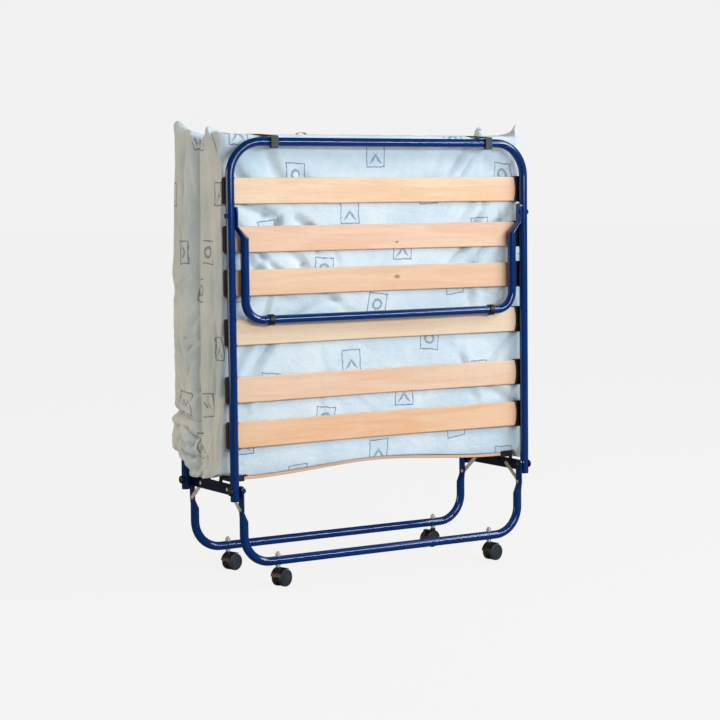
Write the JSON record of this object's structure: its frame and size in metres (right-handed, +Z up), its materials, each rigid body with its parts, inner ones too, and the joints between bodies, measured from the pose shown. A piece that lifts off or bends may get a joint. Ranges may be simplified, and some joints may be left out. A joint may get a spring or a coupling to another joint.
{
  "type": "folding cot",
  "caption": "Folding guest bed on casters, stored upright: tube frames with sprung wood slats, folded mattress and fold-out end legs.",
  "frame": {"origin": "on the floor, under the middle of the folded bed", "axes": "+X to the right along the bed's width, -Y to the front frame, +Z up"},
  "size_m": [0.9126, 0.3141, 1.13],
  "materials": {
    "blue_tube": "gloss",
    "navy_bar": "gloss",
    "zinc": "satin",
    "dark_bolt": "satin",
    "beech": "satin",
    "black_plastic": "satin",
    "caster_plastic": "satin",
    "wheel_plastic": "satin",
    "steel": "satin",
    "ticking": "matte"
  },
  "bodies": {
    "centre": {"side_bar_left": "navy_bar", "side_bar_right": "navy_bar", "front_wheel_leg": "blue_tube", "rear_wheel_leg": "blue_tube", "leg_braces": "zinc", "brace_rivets": "zinc", "pivot_bolts": "dark_bolt", "front_centre_slat": "beech", "rear_centre_slat": "beech", "centre_slat_holders": "black_plastic", "caster_stems": "zinc", "mattress_fold": "ticking"},
    "front_frame": {"front_frame_tube": "blue_tube", "front_tube_plugs": "black_plastic", "front_slat_holders": "black_plastic", "front_leg_rivets": "zinc", "front_slat_1": "beech", "front_slat_2": "beech", "front_slat_3": "beech", "front_slat_4": "beech", "front_slat_5": "beech", "front_slat_6": "beech"},
    "front_leg": {"front_end_leg": "blue_tube", "front_ring_feet": "black_plastic"},
    "mattress_front": {"front_mattress_pad": "ticking"},
    "rear_frame": {"rear_frame_tube": "blue_tube", "rear_tube_plugs": "black_plastic", "rear_slat_holders": "black_plastic", "rear_leg_rivets": "zinc", "rear_slat_1": "beech", "rear_slat_2": "beech", "rear_slat_3": "beech", "rear_slat_4": "beech", "rear_slat_5": "beech", "rear_slat_6": "beech"},
    "rear_leg": {"rear_end_leg": "blue_tube", "rear_ring_feet": "black_plastic"},
    "mattress_rear": {"rear_mattress_pad": "ticking"},
    "strap_left": {"closing_strap_left": "black_plastic", "strap_jaw_left": "black_plastic"},
    "strap_right": {"closing_strap_right": "black_plastic", "strap_jaw_right": "black_plastic"},
    "front_left_caster": {"front_left_caster_hood": "caster_plastic", "front_left_caster_axle": "steel"},
    "front_left_near_wheel": {"front_left_caster_near_wheel": "wheel_plastic"},
    "front_left_far_wheel": {"front_left_caster_far_wheel": "wheel_plastic"},
    "front_right_caster": {"front_right_caster_hood": "caster_plastic", "front_right_caster_axle": "steel"},
    "front_right_near_wheel": {"front_right_caster_near_wheel": "wheel_plastic"},
    "front_right_far_wheel": {"front_right_caster_far_wheel": "wheel_plastic"},
    "rear_left_caster": {"rear_left_caster_hood": "caster_plastic", "rear_left_caster_axle": "steel"},
    "rear_left_near_wheel": {"rear_left_caster_near_wheel": "wheel_plastic"},
    "rear_left_far_wheel": {"rear_left_caster_far_wheel": "wheel_plastic"},
    "rear_right_caster": {"rear_right_caster_hood": "caster_plastic", "rear_right_caster_axle": "steel"},
    "rear_right_near_wheel": {"rear_right_caster_near_wheel": "wheel_plastic"},
    "rear_right_far_wheel": {"rear_right_caster_far_wheel": "wheel_plastic"}
  },
  "joints": [
    {"name": "front_fold", "type": "hinge", "parent": "centre", "child": "front_frame", "pos_m": [0, -0.135, 0.25], "axis": [1, 0, 0], "range_deg": [0, 90], "deforming": ["strap_jaw_left", "strap_jaw_right"]},
    {"name": "rear_fold", "type": "hinge", "parent": "centre", "child": "rear_frame", "pos_m": [0, 0.135, 0.25], "axis": [-1, 0, 0], "range_deg": [0, 90]},
    {"name": "mattress_front_fold", "type": "hinge", "parent": "centre", "child": "mattress_front", "pos_m": [0, -0.075, 0.31], "axis": [1, 0, 0], "range_deg": [0, 90]},
    {"name": "mattress_rear_fold", "type": "hinge", "parent": "centre", "child": "mattress_rear", "pos_m": [0, 0.075, 0.31], "axis": [-1, 0, 0], "range_deg": [0, 90]},
    {"name": "front_leg_fold", "type": "hinge", "parent": "front_frame", "child": "front_leg", "pos_m": [0, -0.135, 0.926], "axis": [-1, 0, 0], "range_deg": [0, 113.3]},
    {"name": "rear_leg_fold", "type": "hinge", "parent": "rear_frame", "child": "rear_leg", "pos_m": [0, 0.135, 0.926], "axis": [1, 0, 0], "range_deg": [0, 113.3]},
    {"name": "strap_left_hinge", "type": "hinge", "parent": "rear_frame", "child": "strap_left", "pos_m": [-0.32, 0.135, 1.106], "axis": [-1, 0, 0], "range_deg": [0, 180]},
    {"name": "strap_right_hinge", "type": "hinge", "parent": "rear_frame", "child": "strap_right", "pos_m": [0.32, 0.135, 1.106], "axis": [-1, 0, 0], "range_deg": [0, 180]},
    {"name": "front_left_swivel", "type": "hinge", "parent": "centre", "child": "front_left_caster", "pos_m": [-0.321, -0.135, 0.03], "axis": [0, 0, 1], "continuous": true},
    {"name": "front_left_near_roll", "type": "hinge", "parent": "front_left_caster", "child": "front_left_near_wheel", "pos_m": [-0.30784, -0.13021, 0.022], "axis": [-0.342, 0.9397, 0], "continuous": true},
    {"name": "front_left_far_roll", "type": "hinge", "parent": "front_left_caster", "child": "front_left_far_wheel", "pos_m": [-0.30784, -0.13021, 0.022], "axis": [-0.342, 0.9397, 0], "continuous": true},
    {"name": "front_right_swivel", "type": "hinge", "parent": "centre", "child": "front_right_caster", "pos_m": [0.321, -0.135, 0.03], "axis": [0, 0, 1], "continuous": true},
    {"name": "front_right_near_roll", "type": "hinge", "parent": "front_right_caster", "child": "front_right_near_wheel", "pos_m": [0.33479, -0.13257, 0.022], "axis": [-0.1736, 0.9848, 0], "continuous": true},
    {"name": "front_right_far_roll", "type": "hinge", "parent": "front_right_caster", "child": "front_right_far_wheel", "pos_m": [0.33479, -0.13257, 0.022], "axis": [-0.1736, 0.9848, 0], "continuous": true},
    {"name": "rear_left_swivel", "type": "hinge", "parent": "centre", "child": "rear_left_caster", "pos_m": [-0.321, 0.135, 0.03], "axis": [0, 0, 1], "continuous": true},
    {"name": "rear_left_near_roll", "type": "hinge", "parent": "rear_left_caster", "child": "rear_left_near_wheel", "pos_m": [-0.30748, 0.13862, 0.022], "axis": [-0.2588, 0.9659, 0], "continuous": true},
    {"name": "rear_left_far_roll", "type": "hinge", "parent": "rear_left_caster", "child": "rear_left_far_wheel", "pos_m": [-0.30748, 0.13862, 0.022], "axis": [-0.2588, 0.9659, 0], "continuous": true},
    {"name": "rear_right_swivel", "type": "hinge", "parent": "centre", "child": "rear_right_caster", "pos_m": [0.321, 0.135, 0.03], "axis": [0, 0, 1], "continuous": true},
    {"name": "rear_right_near_roll", "type": "hinge", "parent": "rear_right_caster", "child": "rear_right_near_wheel", "pos_m": [0.30721, 0.13257, 0.022], "axis": [0.1736, -0.9848, 0], "continuous": true},
    {"name": "rear_right_far_roll", "type": "hinge", "parent": "rear_right_caster", "child": "rear_right_far_wheel", "pos_m": [0.30721, 0.13257, 0.022], "axis": [0.1736, -0.9848, 0], "continuous": true}
  ],
  "couplings": [
    {"joint": "mattress_front_fold", "follows": "front_fold", "ratio": 1},
    {"joint": "mattress_rear_fold", "follows": "rear_fold", "ratio": 1}
  ]
}
